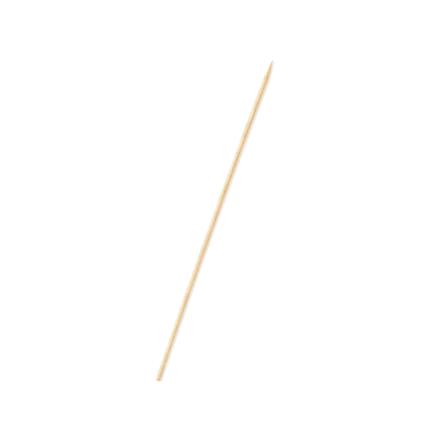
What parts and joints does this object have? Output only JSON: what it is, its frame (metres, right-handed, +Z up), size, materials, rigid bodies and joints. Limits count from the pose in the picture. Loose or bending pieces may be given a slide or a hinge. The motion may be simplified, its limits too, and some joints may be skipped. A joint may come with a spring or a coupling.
{
  "type": "wooden skewer",
  "caption": "Round bamboo skewer with a long ground point and a square-cut blunt end, for threading and grilling food; it lies on its side.",
  "frame": {"origin": "under the middle of the stick, on the surface that it lies on", "axes": "+X along the stick towards the point, +Y towards the side that the slight bow stands out to, +Z up"},
  "size_m": [0.25, 0.004, 0.0029],
  "materials": {
    "bamboo": "bare, cut and ground, lightly polished on the shank and rougher on the point and the sawn end"
  },
  "bodies": {
    "root": {"skewer": "bamboo"}
  },
  "joints": []
}
